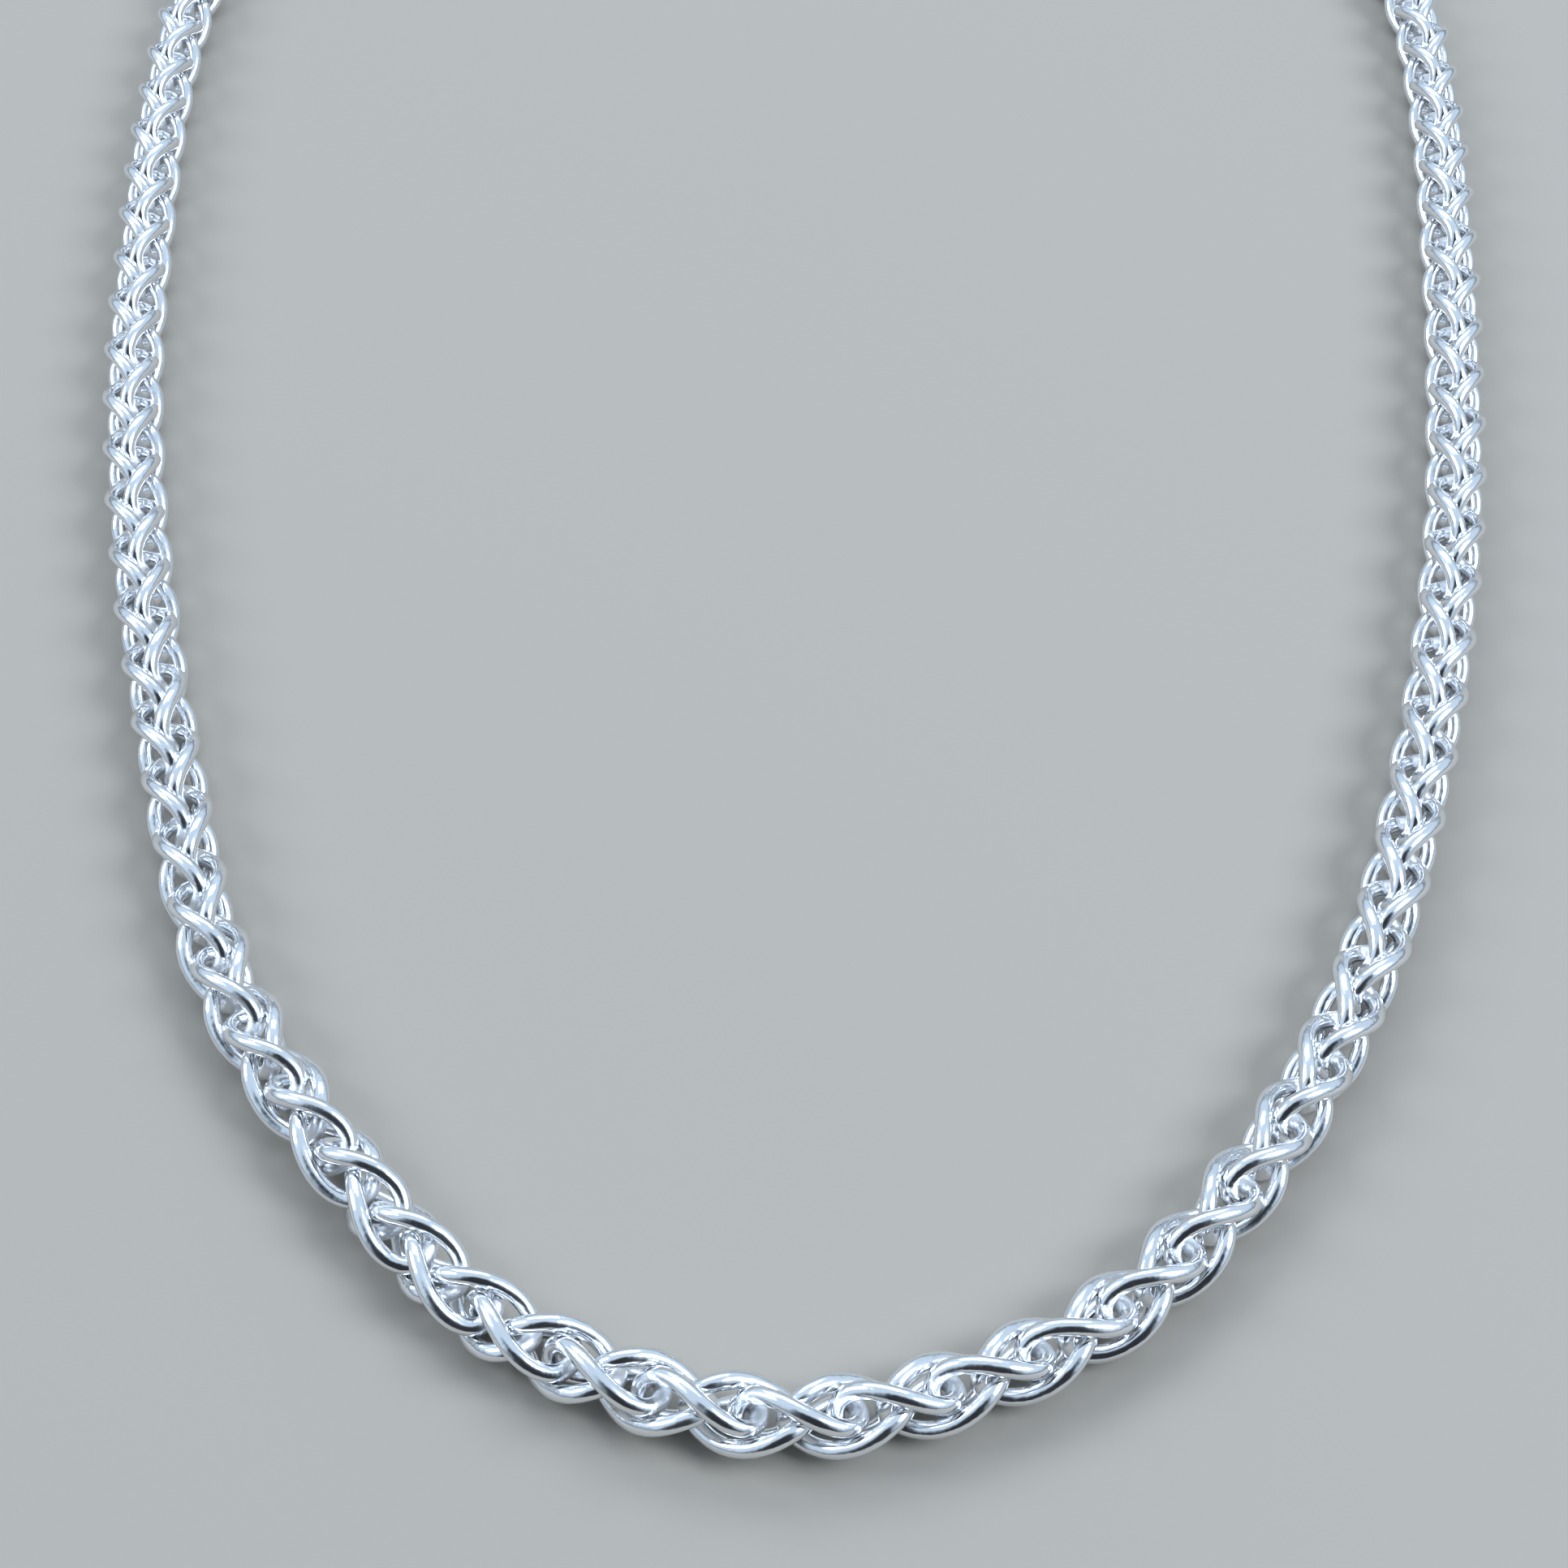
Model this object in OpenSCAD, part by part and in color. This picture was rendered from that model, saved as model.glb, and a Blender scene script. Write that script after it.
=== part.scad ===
// Wheat chain necklace in polished silver, lying on a table as one closed loop.
// Millimetres, +Z up. The origin is the middle of the loop at table height.
// The front of the loop points to -Y and its clasp lies at +Y.

/* [Chain] */
// outer width of the chain, corner to corner
chain_w = 4.6; // [4.5:0.05:4.7]
// thickness of the round wire that the links are made of
wire_d = 1; // [0.9:0.02:1]
// distance between two links of the same row
link_pitch = 5.4; // [5.3:0.05:5.6]
// play between a link's end and the next link that it holds
link_play = 0.3; // [0.25:0.05:0.35]
// links in each half of the chain
half_links = 81; // [61:2:81]

/* [Clasp and end rings] */
// middle diameter of an end ring
ring_d = 4; // [3.8:0.1:4.4]
// thickness of an end ring's wire
ring_wire = 0.9; // [0.8:0.05:1]
// length of the clasp from the end of its hook to the middle of its eye
clasp_reach = 10.2; // [9.8:0.1:10.8]
// thickness of the clasp's hook
hook_wire = 1.5; // [1.3:0.1:1.6]
// distance between the middles of the hook's two sides
hook_w = 3.6; // [3.4:0.1:3.8]
// diameter of the clasp's body where the hook leaves it
body_d = 4.1; // [3.8:0.1:4.2]

/* [Hidden] */
silver = [0.86, 0.87, 0.88];
// clear gap left between pieces that hook into each other
fit_gap = 0.2;

// The way that the chain's middle line takes on the table,
// from above, starting at the clasp and going round by the left arm
route = [
    [0, 85.25], [-14, 84.75], [-28.5, 81], [-41.5, 73], [-50.5, 61],
    [-53.25, 45], [-53.25, 29], [-52, 13], [-50.25, -3], [-47, -20],
    [-42.25, -38], [-36, -56.5], [-26.25, -71], [-15.75, -81], [-1, -85.75],
    [14.5, -81], [25.25, -71], [34.25, -56.5], [41, -38], [45.75, -20],
    [48.75, -3], [51, 13], [52.75, 29.5], [53.25, 45], [50.5, 61],
    [41.5, 73], [28.5, 81], [14, 84.75]
];
// short steps that each stretch between two route points is cut into
route_steps = 12;

// how far the links are turned about the middle line
// columns: share of the loop's length, angle in degrees
turn = [
    [0, 90], [0.1, 98], [0.335, 98], [0.41, 60], [0.438, 14], [0.465, -4],
    [0.485, -32], [0.53, -36], [0.56, -25], [0.6, 4], [0.9, 4], [1, 0]
];

// One link: an oval of wire, twisted about its length
// half of its outline, from its end to its middle
// columns: share of the half length, share of the half width
link_shape = [[1, 0.2], [0.64, 0.88], [0, 1]];
// angle that the link is twisted by between its middle and each end
link_twist = 60;
// angle of the strands at the middle of a link, for each of the two rows
row_angle = [135, 45];
// way that each row is twisted
row_hand = [1, -1];
// flat sides of the wire, their turn, and the size that keeps the wire's section
wire_sides = 5;
wire_turn = 36;
wire_r = 0.55*wire_d;
// length between the middles of the wire at the link's two ends
link_l = link_pitch + wire_d + link_play;
// radius of the wire's middle at the middle of the link
link_r = (chain_w - wire_d)/2;

// The clasp, along its own line: the eye to +X and the hook to -X
eye_wire = 0.9;
eye_r = 1.35;
eye_x = clasp_reach/2;
hook_r = hook_w/2;
// middle of the hook's bend
bend_x = -clasp_reach/2 + hook_r + hook_wire/2;
// where the hook's sides meet the body, and where the body ends at its neck
body_x = eye_x - 4;
neck_x = eye_x - eye_r;
neck_d = 1.8;
// heights of the middles of the clasp and the rings above the table
clasp_z = body_d/2;
ring_z = (ring_d + ring_wire)/2;

// Points of one link about its own middle, turned by an angle at its
// middle and by a further angle towards its ends
function unit(v) = v/norm(v);
link_half = [
    for (p = link_shape) p,
    for (i = [len(link_shape) - 2:-1:0]) [-link_shape[i].x, link_shape[i].y]
];
// the whole outline: along one strand, and back along the other
link_outline = [
    for (p = link_half) p,
    for (p = link_half) -p
];
link_sections = len(link_outline);
function strand_angle(row, x, angle, further) =
    row_angle[row] + row_hand[row]*link_twist*x + angle + further*x;
function strand_point(row, i, angle, further) =
    let (p = link_outline[i % link_sections], a = strand_angle(row, p.x, angle, further))
    [p.x*link_l/2, p.y*link_r*cos(a), p.y*link_r*sin(a)];
function link_points(row, angle, further) = [
    for (i = [0:link_sections - 1])
        let (
            middle = strand_point(row, i, angle, further),
            before = strand_point(row, i + link_sections - 1, angle, further),
            after = strand_point(row, i + 1, angle, further),
            a = strand_angle(row, link_outline[i].x, angle, further),
            along = unit(after - before),
            sheet = [0, -sin(a), cos(a)],
            across = unit(sheet - (sheet*along)*along),
            out = cross(along, across)
        )
        for (j = [0:wire_sides - 1])
            let (b = wire_turn + j*360/wire_sides)
            middle + wire_r*(cos(b)*out + sin(b)*across)
];
// height of the middle line that lets the lower of the two rows touch the table
function chain_z(angle) = -min([for (row = [0, 1], p = link_points(row, angle, 0)) p.z]);
chain_lift = [for (angle = [-45:5:100]) [angle, chain_z(angle)]];

// The closed curve through the route's points
function bend(a, b, c, d, t) =
    b + (c - a)*t/2 + (a - 2.5*b + 2*c - 0.5*d)*t*t + (1.5*b - 1.5*c + 0.5*d - 0.5*a)*t*t*t;
function route_point(i) = route[(i + len(route)) % len(route)];
curve = [
    for (i = [0:len(route)], j = [0:route_steps - 1])
        if (i < len(route) || j == 0)
            bend(route_point(i - 1), route_point(i), route_point(i + 1), route_point(i + 2), j/route_steps)
];
// length along the curve at each of its points
curve_s = [
    for (i = 0, s = 0; i < len(curve); s = s + norm(curve[min(i + 1, len(curve) - 1)] - curve[i]), i = i + 1) s
];

// Places along the loop, counted in millimetres from the clasp's middle
// where each ring crosses the clasp
eye_s = eye_x + eye_r - eye_wire/2 - fit_gap - ring_wire/2;
hook_s = bend_x - hook_r + hook_wire/2 + fit_gap + ring_wire/2;
// half the ring's width at the height of the clasp and of the links
ring_at_clasp = sqrt(pow(ring_d/2, 2) - pow(ring_z - clasp_z, 2));
ring_at_link = sqrt(pow(ring_d/2, 2) - pow(ring_z - chain_z(0), 2));
// from a ring's wire to the middle of the link that it holds
link_reach = link_l/2 - wire_r - fit_gap - ring_wire/2;
left_ring_s = eye_s + ring_at_clasp;
right_ring_s = hook_s - ring_at_clasp;
first_s = left_ring_s + ring_at_link + link_reach;
last_s = right_ring_s - ring_at_link - link_reach;
// the loop is as long as its links, rings and clasp need
loop_length = (2*half_links - 1)*link_pitch/2 + first_s - last_s;
loop_scale = loop_length/curve_s[len(curve_s) - 1];
loop_x = [for (i = [0:len(curve) - 1]) [loop_scale*curve_s[i], loop_scale*curve[i].x]];
loop_y = [for (i = [0:len(curve) - 1]) [loop_scale*curve_s[i], loop_scale*curve[i].y]];

function wrap(s) = s - loop_length*floor(s/loop_length);
function spot(s) = [lookup(wrap(s), loop_x), lookup(wrap(s), loop_y)];
// direction from one place on the loop to another
function heading(from, to) = let (d = spot(to) - spot(from)) d/norm(d);
function turn_at(s) = lookup(wrap(s)/loop_length, turn);

// Triangles of one link's wire, two for each flat of each section
function wire_index(i, j) = (i % link_sections)*wire_sides + j % wire_sides;
link_faces = [
    for (i = [0:link_sections - 1], j = [0:wire_sides - 1])
        for (f = [
            [wire_index(i, j), wire_index(i + 1, j + 1), wire_index(i + 1, j)],
            [wire_index(i, j), wire_index(i, j + 1), wire_index(i + 1, j + 1)]
        ]) f
];
link_corners = link_sections*wire_sides;

// All links in their places, each bent along the loop where it lies
function link_in_place(k) =
    let (
        s = first_s + k*link_pitch/2,
        further = (turn_at(s + link_l/2) - turn_at(s - link_l/2))/2
    )
    [
        for (p = link_points(k % 2, turn_at(s), further))
            let (
                middle = spot(s + p.x),
                ahead = heading(s + p.x - link_pitch/4, s + p.x + link_pitch/4),
                lift = lookup(turn_at(s + p.x), chain_lift)
            )
            [middle.x - p.y*ahead.y, middle.y + p.y*ahead.x, p.z + lift]
    ];
links = [for (k = [0:2*half_links - 1]) link_in_place(k)];
lowest = min([for (link = links, p = link) p.z]);

// A stretch of the chain: two rows of links, each holding the next two
module chain_links(first, last) {
    points = [
        for (k = [first:last], p = links[k])
            p - [0, 0, lowest]
    ];
    faces = [
        for (k = [0:last - first], f = link_faces)
            [for (corner = f) corner + k*link_corners]
    ];
    color(silver) polyhedron(points, faces, convexity = 10);
}

module chain_left_half() {
    chain_links(0, half_links - 1);
}

module chain_right_half() {
    chain_links(half_links, 2*half_links - 1);
}

// What lies between two places on the loop is turned to face along it
module along_loop(from, to) {
    ahead = heading(from, to);
    middle = (spot(from) + spot(to))/2;
    translate([middle.x, middle.y, 0])
        rotate([0, 0, atan2(ahead.y, ahead.x)])
            children();
}

// a round wire ring standing on the table, in line with the chain
module end_ring() {
    color(silver)
        translate([0, 0, ring_z])
            rotate([90, 0, 0])
                rotate_extrude($fn = 48)
                    translate([ring_d/2, 0])
                        circle(d = ring_wire, $fn = 24);
}

module end_ring_left() {
    along_loop(left_ring_s - ring_d/2, left_ring_s + ring_d/2) end_ring();
}

module end_ring_right() {
    along_loop(right_ring_s - ring_d/2, right_ring_s + ring_d/2) end_ring();
}

// the clasp is one plain piece: a hook closed on its body, and an eye behind it
module hook_side(y) {
    translate([bend_x, y, 0])
        rotate([0, 90, 0])
            cylinder(d = hook_wire, h = body_x - bend_x, $fn = 32);
}

module clasp_shape() {
    // bend of the hook
    translate([bend_x, 0, 0])
        rotate([0, 0, 90])
            rotate_extrude(angle = 180, $fn = 64)
                translate([hook_r, 0])
                    circle(d = hook_wire, $fn = 32);
    hook_side(hook_r);
    hook_side(-hook_r);
    // body, narrowing to its neck
    translate([body_x, 0, 0])
        sphere(d = body_d, $fn = 48);
    translate([body_x, 0, 0])
        rotate([0, 90, 0])
            cylinder(d1 = body_d, d2 = neck_d, h = neck_x - body_x, $fn = 48);
    // eye
    translate([eye_x, 0, 0])
        rotate_extrude($fn = 48)
            translate([eye_r, 0])
                circle(d = eye_wire, $fn = 24);
}

module clasp() {
    color(silver)
        along_loop(hook_s, eye_s)
            translate([-(hook_s + eye_s)/2, 0, clasp_z])
                clasp_shape();
}

chain_left_half();
chain_right_half();
end_ring_left();
end_ring_right();
clasp();
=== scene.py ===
"""A wheat chain necklace of polished silver, closed and lying flat on a pale table."""
import bpy
import math
import numpy as np
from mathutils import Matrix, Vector


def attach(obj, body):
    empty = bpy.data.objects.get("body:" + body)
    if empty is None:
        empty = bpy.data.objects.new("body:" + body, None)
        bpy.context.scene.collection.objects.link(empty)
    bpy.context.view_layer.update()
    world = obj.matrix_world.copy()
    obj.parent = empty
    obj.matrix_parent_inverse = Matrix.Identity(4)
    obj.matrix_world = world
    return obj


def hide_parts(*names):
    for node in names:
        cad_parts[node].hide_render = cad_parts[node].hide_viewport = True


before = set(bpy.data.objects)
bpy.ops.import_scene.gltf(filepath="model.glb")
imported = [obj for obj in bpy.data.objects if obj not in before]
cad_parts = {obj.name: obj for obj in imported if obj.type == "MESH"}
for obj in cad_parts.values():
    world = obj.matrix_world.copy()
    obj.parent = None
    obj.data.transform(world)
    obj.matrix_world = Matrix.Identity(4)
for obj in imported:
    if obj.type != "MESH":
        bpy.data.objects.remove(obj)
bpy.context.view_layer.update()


# The loop that the chain lies in: from the clasp round by the left arm, along
# the front to the right arm, and back. Its points are the CAD part's own, in
# metres, and so is the table of how far the links are turned about it.
route = np.array([
    [0, 0.08525], [-0.014, 0.08475], [-0.0285, 0.081], [-0.0415, 0.073],
    [-0.0505, 0.061], [-0.05325, 0.045], [-0.05325, 0.029], [-0.052, 0.013],
    [-0.05025, -0.003], [-0.047, -0.02], [-0.04225, -0.038], [-0.036, -0.0565],
    [-0.02625, -0.071], [-0.01575, -0.081], [-0.001, -0.08575], [0.0145, -0.081],
    [0.02525, -0.071], [0.03425, -0.0565], [0.041, -0.038], [0.04575, -0.02],
    [0.04875, -0.003], [0.051, 0.013], [0.05275, 0.0295], [0.05325, 0.045],
    [0.0505, 0.061], [0.0415, 0.073], [0.0285, 0.081], [0.014, 0.08475],
])
loop_length = 0.45514
turn_places = [0, 0.1, 0.335, 0.41, 0.438, 0.465, 0.485, 0.53, 0.56, 0.6, 0.9, 1]
turn_degrees = [90, 98, 98, 60, 14, -4, -32, -36, -25, 4, 4, 0]


def closed_curve(points, steps=24):
    """A smooth closed curve through the points, and the length along it at each of its places."""
    before, after, beyond = (np.roll(points, shift, axis=0) for shift in (1, -1, -2))
    t = np.linspace(0, 1, steps, endpoint=False)[:, None, None]
    places = (points + (after - before) * t / 2
              + (before - 2.5 * points + 2 * after - 0.5 * beyond) * t**2
              + (1.5 * points - 1.5 * after + 0.5 * beyond - 0.5 * before) * t**3)
    places = places.transpose(1, 0, 2).reshape(-1, 2)
    places = np.vstack([places, places[:1]])
    lengths = np.cumsum(np.linalg.norm(np.diff(places, axis=0), axis=1))
    return places, np.concatenate([[0], lengths])


loop, loop_s = closed_curve(route)
loop *= loop_length / loop_s[-1]
loop_s *= loop_length / loop_s[-1]


def place_on_loop(s):
    s = np.mod(s, loop_length)
    return np.stack([np.interp(s, loop_s, loop[:, 0]), np.interp(s, loop_s, loop[:, 1])], axis=-1)


def unit(vectors):
    return vectors / np.linalg.norm(vectors, axis=-1, keepdims=True)


# The chain: oval links of round silver wire, each twisted about its length and
# soldered shut at one end. Every link holds the next two, so two mirrored rows
# of links lie round each other like the grains of a wheat ear.
link_count = 162
link_pitch = 0.0054
link_length = 0.0067
link_radius = 0.0018
wire_radius = 0.00052  # a little over the part's, for the glare on the real wire
link_twist = 60
link_roundness = 2.2
first_link_s = 0.01142
wire_sections = 72
wire_sides = 16
joint_reach = 0.0011
joint_swell = 0.05
wire_waves = 3
wave_share = 0.012
lean_degrees = 1.5
swell_share = 0.008
floor_gap = 0.00003
rise_height = 0.00002
outline_steps = 2001
hand_made = np.random.default_rng(7)


def link_outline():
    """Shares of the half length and half width, evenly spaced along the wire of one link."""
    t = np.linspace(0, 2 * math.pi, outline_steps)
    x = np.sign(np.cos(t)) * np.abs(np.cos(t)) ** (2 / link_roundness)
    r = np.sign(np.sin(t)) * np.abs(np.sin(t)) ** (2 / link_roundness)
    reach = np.cumsum(np.hypot(np.diff(x) * link_length / 2, np.diff(r) * link_radius))
    reach = np.concatenate([[0], reach])
    even = np.linspace(0, reach[-1], wire_sections, endpoint=False)
    return np.interp(even, reach, x), np.interp(even, reach, r)


outline_x, outline_r = link_outline()


def resting_height(turn):
    """Height of the loop's middle line at which the lower row of links lies on the table."""
    lowest = 0
    for row_hand in (1, -1):
        angle = np.radians(90 + (45 + link_twist * outline_x) * row_hand + turn)
        lowest = min(lowest, (link_radius * outline_r * np.sin(angle)).min())
    return wire_radius - lowest


height_turns = np.arange(-45, 101, 5)
heights = [resting_height(turn) for turn in height_turns]


def link_in_place(k):
    """Corners of link k's wire, bent along the loop where it lies, and the solder at each.
    The corners go by section, side and x, y, z."""
    row_hand = 1 if k % 2 == 0 else -1
    row_angle = 90 + 45 * row_hand
    lean, swell, rise = hand_made.uniform(-1, 1, 3)
    s = first_link_s + k * link_pitch / 2
    turn = np.interp((s + outline_x * link_length / 2) / loop_length, turn_places, turn_degrees)
    angle = np.radians(row_angle + row_hand * link_twist * outline_x + turn + lean_degrees * lean)
    radius = link_radius * outline_r * (1 + swell_share * swell)
    middle = np.stack([
        outline_x * link_length / 2, radius * np.cos(angle), radius * np.sin(angle),
    ], -1)
    along = unit(np.roll(middle, -1, axis=0) - np.roll(middle, 1, axis=0))
    sheet = np.stack([0 * angle, -np.sin(angle), np.cos(angle)], -1)
    across = unit(sheet - (sheet * along).sum(-1, keepdims=True) * along)
    out = np.cross(along, across)
    # the solder leaves the wire a little thicker and uneven at the link's far end
    joint = np.clip(1 - np.linalg.norm(middle - middle[0], axis=-1) / joint_reach, 0, 1)
    round_wire = np.linspace(0, 2 * math.pi, wire_sides, endpoint=False)[None, :, None]
    round_link = np.linspace(0, 2 * math.pi, wire_sections, endpoint=False)
    uneven = 1 + wave_share * np.sin(wire_waves * round_link + 6 * lean)
    thickness = (wire_radius * (uneven + joint_swell * joint))[:, None, None]
    wire = middle[:, None] + thickness * (
        np.cos(round_wire) * out[:, None] + np.sin(round_wire) * across[:, None])
    at = place_on_loop(s + wire[..., 0])
    ahead = unit(place_on_loop(s + wire[..., 0] + link_pitch / 4)
                 - place_on_loop(s + wire[..., 0] - link_pitch / 4))
    x = at[..., 0] - wire[..., 1] * ahead[..., 1]
    y = at[..., 1] + wire[..., 1] * ahead[..., 0]
    lift = np.interp(turn, height_turns, heights)[:, None]
    z = wire[..., 2] + lift + floor_gap + rise_height * rise
    return np.stack([x, y, z], -1), np.repeat(joint, wire_sides)


def chain_half(name, first, count):
    """One mesh of the links from the first on, with the share of solder at each corner."""
    links = [link_in_place(k) for k in range(first, first + count)]
    corners = np.concatenate([link[0].reshape(-1, 3) for link in links])
    section, side = np.meshgrid(np.arange(wire_sections), np.arange(wire_sides), indexing="ij")
    next_section, next_side = (section + 1) % wire_sections, (side + 1) % wire_sides
    faces = np.stack([
        section * wire_sides + side, next_section * wire_sides + side,
        next_section * wire_sides + next_side, section * wire_sides + next_side,
    ], -1).reshape(-1, 4)
    offsets = np.arange(count)[:, None, None] * wire_sections * wire_sides
    mesh = bpy.data.meshes.new(name)
    mesh.from_pydata(corners.tolist(), [], (faces[None] + offsets).reshape(-1, 4).tolist())
    mesh.shade_smooth()
    solder = mesh.attributes.new("solder", "FLOAT", "POINT")
    solder.data.foreach_set("value", np.concatenate([link[1] for link in links]))
    chain = bpy.data.objects.new(name, mesh)
    bpy.context.collection.objects.link(chain)
    return chain


def linear(colour):
    """Linear red, green, blue and alpha of an sRGB hex colour."""
    shares = [int(colour[i:i + 2], 16) / 255 for i in (1, 3, 5)]
    return [c / 12.92 if c <= 0.04045 else ((c + 0.055) / 1.055) ** 2.4 for c in shares] + [1]


def new_material(name):
    material = bpy.data.materials.new(name)
    material.use_nodes = True
    return material, material.node_tree.nodes["Principled BSDF"]


def add_node(material, kind, settings=None, **inputs):
    """A node of a material or world with its settings, and its inputs as values or as other
    nodes' sockets. An input named _2 is the third by place."""
    node = material.node_tree.nodes.new(kind)
    for name, value in (settings or {}).items():
        setattr(node, name, value)
    for name, value in inputs.items():
        socket = node.inputs[int(name[1:])] if name[0] == "_" else node.inputs[name]
        if isinstance(value, bpy.types.NodeSocket):
            material.node_tree.links.new(value, socket)
        else:
            socket.default_value = value
    return node


def polished_silver(name, solder_patches):
    """Mirror-bright sterling with the faint haze of handling: crisp highlights that waver
    a little along the wire, and a frosted grain where a link is soldered shut."""
    material, shader = new_material(name)
    links = material.node_tree.links
    place = add_node(material, "ShaderNodeTexCoord").outputs["Object"]
    # the haze comes in patches about 2.4 mm across
    haze = add_node(material, "ShaderNodeTexNoise", Vector=place, Scale=420, Detail=3)
    rough = add_node(material, "ShaderNodeMapRange", Value=haze.outputs["Fac"],
                     _1=0.35, _2=0.7, _3=0.12, _4=0.22).outputs["Result"]
    # the surface rises and falls over about 1 mm, the thickness of the wire
    waver = add_node(material, "ShaderNodeTexNoise", Vector=place, Scale=1000, Detail=2)
    bump = add_node(material, "ShaderNodeBump",
                    Strength=0.26, Distance=0.0002, Height=waver.outputs["Fac"])
    if solder_patches:
        solder = add_node(material, "ShaderNodeAttribute",
                          {"attribute_name": "solder"}).outputs["Fac"]
        patch = add_node(material, "ShaderNodeMapRange",
                         Value=solder, _1=0.1, _2=0.6).outputs["Result"]
        # grains of 0.2 mm: the real ones are finer, and would not show
        grain = add_node(material, "ShaderNodeTexNoise", Vector=place, Scale=5000, Detail=2)
        rough = add_node(material, "ShaderNodeMix", A=rough, B=0.46, Factor=patch).outputs["Result"]
        depth = add_node(material, "ShaderNodeMath", {"operation": "MULTIPLY"},
                         _0=grain.outputs["Fac"], _1=patch)
        bump = add_node(material, "ShaderNodeBump", Strength=0.6, Distance=0.00005,
                        Height=depth.outputs[0], Normal=bump.outputs["Normal"])
    links.new(rough, shader.inputs["Roughness"])
    links.new(bump.outputs["Normal"], shader.inputs["Normal"])
    shader.inputs["Base Color"].default_value = linear("#F5F7FA")
    shader.inputs["Metallic"].default_value = 1
    return material


chain_silver = polished_silver("polished silver wire", solder_patches=True)
half_count = link_count // 2
for name, node, first in (("chain_links_left", "chain_left_half", 0),
                          ("chain_links_right", "chain_right_half", half_count)):
    chain = chain_half(name, first, half_count)
    chain.data.materials.append(chain_silver)
    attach(chain, "root")
    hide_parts(node)


# The end rings and the clasp: two closed rings of round wire and a cast hook
# clasp with its eye, all polished like the chain. Their CAD shapes stay, and
# only the finish changes.
fittings_silver = polished_silver("polished cast silver", solder_patches=False)
for node in ("end_ring_left", "end_ring_right", "clasp"):
    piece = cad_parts[node]
    piece.data.materials.clear()
    piece.data.materials.append(fittings_silver)


# The floor: a pale matt table top, wide enough to fill the view.
bpy.ops.mesh.primitive_plane_add(size=6)
floor = bpy.context.object
floor.name = "floor"
table_paint, table_shader = new_material("pale matt table")
table_shader.inputs["Base Color"].default_value = linear("#9B958C")
table_shader.inputs["Roughness"].default_value = 0.7
floor.data.materials.append(table_paint)


# The light: a bright white tent, dim along the floor line, with dark patches
# behind the camera and low in front for the deep streaks in the wires. Two lamps
# and a weak window lay soft shadows inside the arms and below the bend.
def soft_light(name, at, size, watts, colour, aim=(0, -0.02, 0)):
    light = bpy.data.lights.new(name, "AREA")
    light.shape = "RECTANGLE"
    light.size, light.size_y = size
    light.energy = watts
    light.color = linear(colour)[:3]
    lamp = bpy.data.objects.new(name, light)
    lamp.location = at
    lamp.rotation_euler = (Vector(at) - Vector(aim)).to_track_quat("Z", "Y").to_euler()
    bpy.context.collection.objects.link(lamp)


soft_light("window behind", (-0.05, 0.5, 0.6), (0.7, 0.3), 3, "#E6F1FF")
soft_light("lamp left", (-0.55, 0.02, 0.45), (0.25, 0.35), 2.3, "#E6F1FF")
soft_light("lamp right", (0.5, -0.15, 0.5), (0.3, 0.35), 4.3, "#E6F1FF")

# each dark patch: towards where, and the cosines of its core's and its rim's angle
dark_patches = (
    ((0.05, -0.66, 0.75), 0.98, 0.82),
    ((0.0, -0.96, 0.28), 0.93, 0.62),
)
tent = bpy.data.worlds.new("white tent")
tent.use_nodes = True
background = tent.node_tree.nodes["Background"]
direction = add_node(tent, "ShaderNodeTexCoord").outputs["Generated"]
height = add_node(tent, "ShaderNodeSeparateXYZ", Vector=direction).outputs["Z"]
brightness = add_node(tent, "ShaderNodeMapRange", {"interpolation_type": "SMOOTHSTEP"},
                      Value=height, _1=0.0, _2=0.3, _3=0.22, _4=1).outputs["Result"]
for towards, core, rim in dark_patches:
    near = add_node(tent, "ShaderNodeVectorMath", {"operation": "DOT_PRODUCT"},
                    _0=direction, _1=towards).outputs["Value"]
    beside = add_node(tent, "ShaderNodeMapRange", {"interpolation_type": "SMOOTHSTEP"},
                      Value=near, _1=core, _2=rim).outputs["Result"]
    brightness = add_node(tent, "ShaderNodeMath", {"operation": "MULTIPLY"},
                          _0=brightness, _1=beside).outputs[0]
tent_colour = add_node(tent, "ShaderNodeMix", {"data_type": "RGBA"}, _0=brightness,
                       _6=linear("#31343A"), _7=linear("#D6EBFF"))
tent.node_tree.links.new(tent_colour.outputs[2], background.inputs["Color"])
background.inputs["Strength"].default_value = 0.86
bpy.context.scene.world = tent
bpy.context.scene.view_settings.view_transform = "Standard"


# The camera: a hand-held close view from the front of the loop, looking down
# at it. Its frame is 1932 pixels wide, and the bend fills the lower part.
frame_pixels = 1932
focal_pixels = 3000
sensor_millimetres = 36
look_down = 51.4
camera_data = bpy.data.cameras.new("camera")
camera_data.sensor_width = sensor_millimetres
camera_data.lens = sensor_millimetres * focal_pixels / frame_pixels
camera_data.clip_start = 0.01
camera = bpy.data.objects.new("camera", camera_data)
camera.location = (-0.0015, -0.1407, 0.1258)
camera.rotation_euler = (math.radians(90 - look_down), 0, 0)
bpy.context.collection.objects.link(camera)
bpy.context.scene.camera = camera
